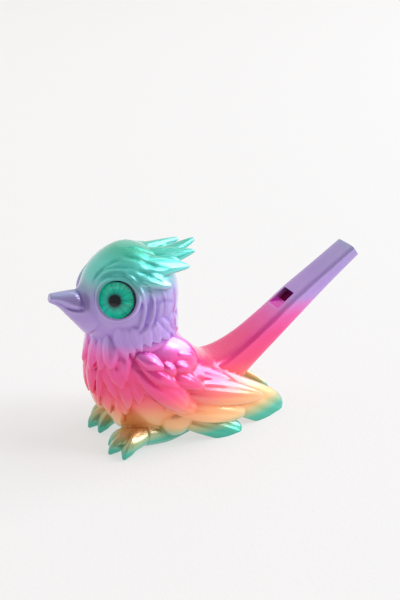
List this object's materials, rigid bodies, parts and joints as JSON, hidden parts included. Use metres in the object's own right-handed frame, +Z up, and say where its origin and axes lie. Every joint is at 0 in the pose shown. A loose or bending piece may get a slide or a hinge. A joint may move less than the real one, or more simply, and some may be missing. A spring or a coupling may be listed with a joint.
{
  "type": "bird whistle",
  "caption": "Printed plastic whistle shaped as a crested songbird with glass eyes; the tail is the mouthpiece, with a windway, a window and a chamber running down into the rump.",
  "frame": {"origin": "middle of the box round the part, on the plane it stands on", "axes": "the bird faces -X, its tail rises towards +X, its left side is -Y, and +Z is up"},
  "size_m": [0.0859, 0.0298, 0.0529],
  "materials": {
    "silk_plastic": "silky printed plastic that runs from teal at the feet through orange, pink and lavender to teal at the crest",
    "eye_glass": "clear polished dome",
    "iris_print": "emerald iris with a dark pupil and rim, printed on a disc"
  },
  "bodies": {
    "root": {"whistle_body": "silk_plastic", "left_eye_dome": "eye_glass", "right_eye_dome": "eye_glass", "left_iris": "iris_print", "right_iris": "iris_print"}
  },
  "joints": []
}
